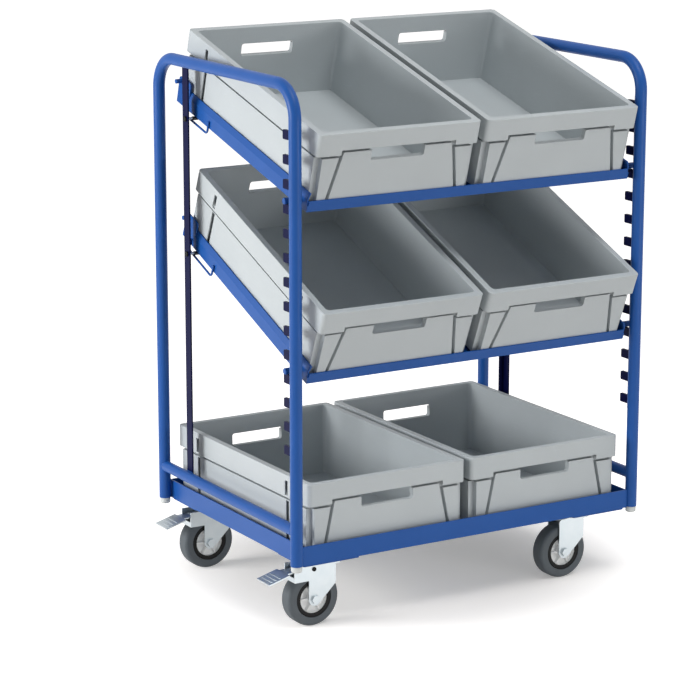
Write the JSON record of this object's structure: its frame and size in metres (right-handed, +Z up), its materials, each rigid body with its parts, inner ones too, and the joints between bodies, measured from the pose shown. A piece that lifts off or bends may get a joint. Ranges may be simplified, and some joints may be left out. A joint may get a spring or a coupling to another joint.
{
  "type": "euro box trolley",
  "caption": "Tube-frame trolley on swivel casters with two tilted shelves and a deck that hold open-top euro boxes; shelves hook on toothed racks, left casters have brake pedals.",
  "frame": {"origin": "on the floor, midway between the four legs", "axes": "+Z up, +Y from the front edge towards the rear, +X to the right seen from the front"},
  "size_m": [0.9449, 0.6834, 1.254],
  "materials": {
    "blue_frame": "satin powder coat",
    "box_plastic": "moulded, fine grain",
    "tyre_rubber": "matte",
    "hub_plastic": "moulded",
    "bush_plastic": "moulded",
    "plug_plastic": "moulded",
    "zinc_steel": "zinc plated"
  },
  "bodies": {
    "frame": {"left_bow": "blue_frame", "left_stretcher": "blue_frame", "left_rear_post": "blue_frame", "left_rack": "blue_frame", "deck_left_rail": "blue_frame", "right_bow": "blue_frame", "right_stretcher": "blue_frame", "right_rear_post": "blue_frame", "right_rack": "blue_frame", "deck_right_rail": "blue_frame", "leg_plugs": "plug_plastic", "deck_front_rail": "blue_frame", "deck_rear_rail": "blue_frame", "deck_bearer": "blue_frame", "caster_corner_plates": "blue_frame", "rear_support_pins": "zinc_steel", "caster_top_plates": "zinc_steel", "caster_bolts": "zinc_steel"},
    "top_cradle": {"top_bushes": "bush_plastic"},
    "top_shelf": {"top_front_rail": "blue_frame", "top_rear_rail": "blue_frame", "top_left_rail": "blue_frame", "top_right_rail": "blue_frame", "top_bearer": "blue_frame", "top_hook_pins": "blue_frame", "top_stirrups": "blue_frame"},
    "middle_cradle": {"middle_bushes": "bush_plastic"},
    "middle_shelf": {"middle_front_rail": "blue_frame", "middle_rear_rail": "blue_frame", "middle_left_rail": "blue_frame", "middle_right_rail": "blue_frame", "middle_bearer": "blue_frame", "middle_hook_pins": "blue_frame", "middle_stirrups": "blue_frame"},
    "top_left_box": {"top_left_box": "box_plastic"},
    "top_right_box": {"top_right_box": "box_plastic"},
    "middle_left_box": {"middle_left_box": "box_plastic"},
    "middle_right_box": {"middle_right_box": "box_plastic"},
    "lower_left_box": {"lower_left_box": "box_plastic"},
    "lower_right_box": {"lower_right_box": "box_plastic"},
    "front_left_caster": {"front_left_fork": "zinc_steel", "front_left_axle": "zinc_steel"},
    "front_left_wheel": {"front_left_hub": "hub_plastic", "front_left_tyre": "tyre_rubber"},
    "front_left_brake": {"front_left_brake_pedal": "zinc_steel"},
    "front_right_caster": {"front_right_fork": "zinc_steel", "front_right_axle": "zinc_steel"},
    "front_right_wheel": {"front_right_hub": "hub_plastic", "front_right_tyre": "tyre_rubber"},
    "rear_left_caster": {"rear_left_fork": "zinc_steel", "rear_left_axle": "zinc_steel"},
    "rear_left_wheel": {"rear_left_hub": "hub_plastic", "rear_left_tyre": "tyre_rubber"},
    "rear_left_brake": {"rear_left_brake_pedal": "zinc_steel"},
    "rear_right_caster": {"rear_right_fork": "zinc_steel", "rear_right_axle": "zinc_steel"},
    "rear_right_wheel": {"rear_right_hub": "hub_plastic", "rear_right_tyre": "tyre_rubber"}
  },
  "joints": [
    {"name": "top_shelf_tilt", "type": "hinge", "parent": "frame", "child": "top_cradle", "pos_m": [0, 0.1926, 1.0591], "axis": [-1, 0, 0], "range_deg": [0, 1.8]},
    {"name": "top_shelf_unhook", "type": "slide", "parent": "top_cradle", "child": "top_shelf", "axis": [0, 0.9617, 0.274], "range_m": [0, 0.03]},
    {"name": "middle_shelf_tilt", "type": "hinge", "parent": "frame", "child": "middle_cradle", "pos_m": [0, 0.1926, 0.7544], "axis": [-1, 0, 0], "range_deg": [0, 1.8]},
    {"name": "middle_shelf_unhook", "type": "slide", "parent": "middle_cradle", "child": "middle_shelf", "axis": [0, 0.9239, 0.3827], "range_m": [0, 0.03]},
    {"name": "top_left_box_lift", "type": "slide", "parent": "top_shelf", "child": "top_left_box", "axis": [0, -0.274, 0.9617], "range_m": [0, 0.15]},
    {"name": "top_right_box_lift", "type": "slide", "parent": "top_shelf", "child": "top_right_box", "axis": [0, -0.274, 0.9617], "range_m": [0, 0.15]},
    {"name": "middle_left_box_lift", "type": "slide", "parent": "middle_shelf", "child": "middle_left_box", "axis": [0, -0.3827, 0.9239], "range_m": [0, 0.06]},
    {"name": "middle_right_box_lift", "type": "slide", "parent": "middle_shelf", "child": "middle_right_box", "axis": [0, -0.3827, 0.9239], "range_m": [0, 0.06]},
    {"name": "lower_left_box_lift", "type": "slide", "parent": "frame", "child": "lower_left_box", "axis": [0, 0, 1], "range_m": [0, 0.1]},
    {"name": "lower_right_box_lift", "type": "slide", "parent": "frame", "child": "lower_right_box", "axis": [0, 0, 1], "range_m": [0, 0.1]},
    {"name": "front_left_swivel", "type": "hinge", "parent": "frame", "child": "front_left_caster", "pos_m": [-0.331, -0.24, 0.1407], "axis": [0, 0, 1], "continuous": true},
    {"name": "front_left_wheel_spin", "type": "hinge", "parent": "front_left_caster", "child": "front_left_wheel", "pos_m": [-0.3726, -0.24, 0.0625], "axis": [0, 1, 0], "continuous": true},
    {"name": "front_left_brake_press", "type": "hinge", "parent": "front_left_caster", "child": "front_left_brake", "pos_m": [-0.375, -0.24, 0.1312], "axis": [0, -1, 0], "range_deg": [0, 8]},
    {"name": "front_right_swivel", "type": "hinge", "parent": "frame", "child": "front_right_caster", "pos_m": [0.331, -0.24, 0.1407], "axis": [0, 0, 1], "continuous": true},
    {"name": "front_right_wheel_spin", "type": "hinge", "parent": "front_right_caster", "child": "front_right_wheel", "pos_m": [0.2894, -0.24, 0.0625], "axis": [0, 1, 0], "continuous": true},
    {"name": "rear_left_swivel", "type": "hinge", "parent": "frame", "child": "rear_left_caster", "pos_m": [-0.331, 0.24, 0.1407], "axis": [0, 0, 1], "continuous": true},
    {"name": "rear_left_wheel_spin", "type": "hinge", "parent": "rear_left_caster", "child": "rear_left_wheel", "pos_m": [-0.3726, 0.24, 0.0625], "axis": [0, 1, 0], "continuous": true},
    {"name": "rear_left_brake_press", "type": "hinge", "parent": "rear_left_caster", "child": "rear_left_brake", "pos_m": [-0.375, 0.24, 0.1312], "axis": [0, -1, 0], "range_deg": [0, 8]},
    {"name": "rear_right_swivel", "type": "hinge", "parent": "frame", "child": "rear_right_caster", "pos_m": [0.331, 0.24, 0.1407], "axis": [0, 0, 1], "continuous": true},
    {"name": "rear_right_wheel_spin", "type": "hinge", "parent": "rear_right_caster", "child": "rear_right_wheel", "pos_m": [0.2894, 0.24, 0.0625], "axis": [0, 1, 0], "continuous": true}
  ]
}
